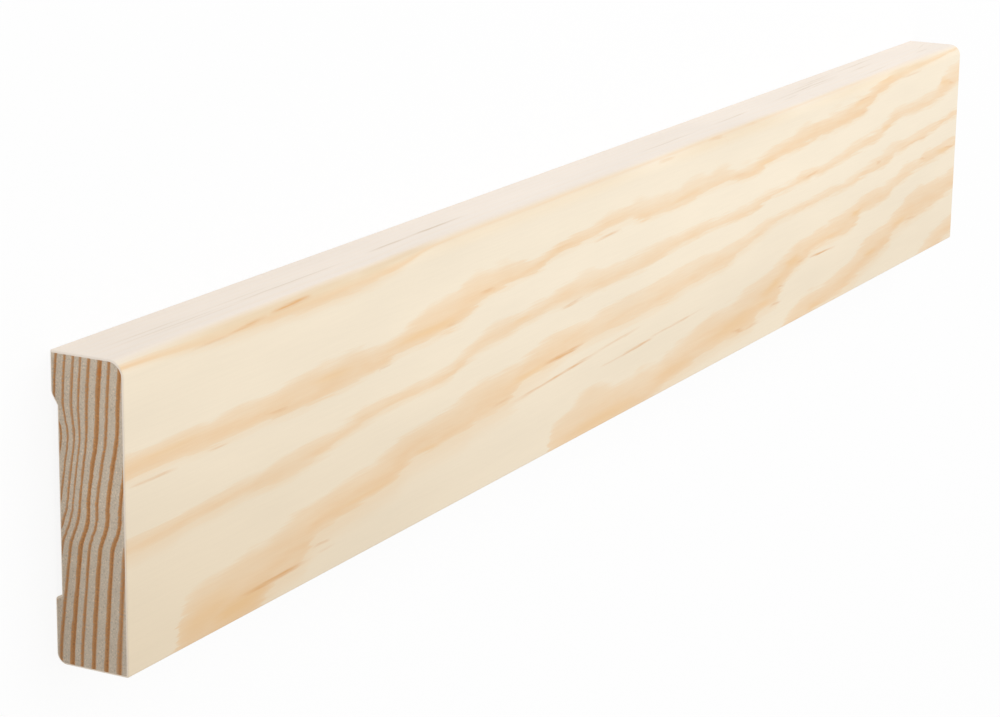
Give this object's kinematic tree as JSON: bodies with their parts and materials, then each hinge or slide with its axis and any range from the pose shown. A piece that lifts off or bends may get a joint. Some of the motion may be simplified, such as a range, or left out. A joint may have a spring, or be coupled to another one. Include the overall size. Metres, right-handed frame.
{
  "type": "skirting board length",
  "caption": "Length of planed pine skirting board with a rounded top front edge and a shallow relieved back, lying face up.",
  "frame": {"origin": "middle of the length and width, on the plane of the two back lands", "axes": "+X along the length from the near butt end to the far one, +Y from the floor edge to the rounded top edge, +Z from the wall side to the moulded face"},
  "size_m": [0.41, 0.056, 0.015],
  "materials": {
    "planed_pine": "planed, untreated"
  },
  "bodies": {
    "root": {"skirting_board": "planed_pine"}
  },
  "joints": []
}
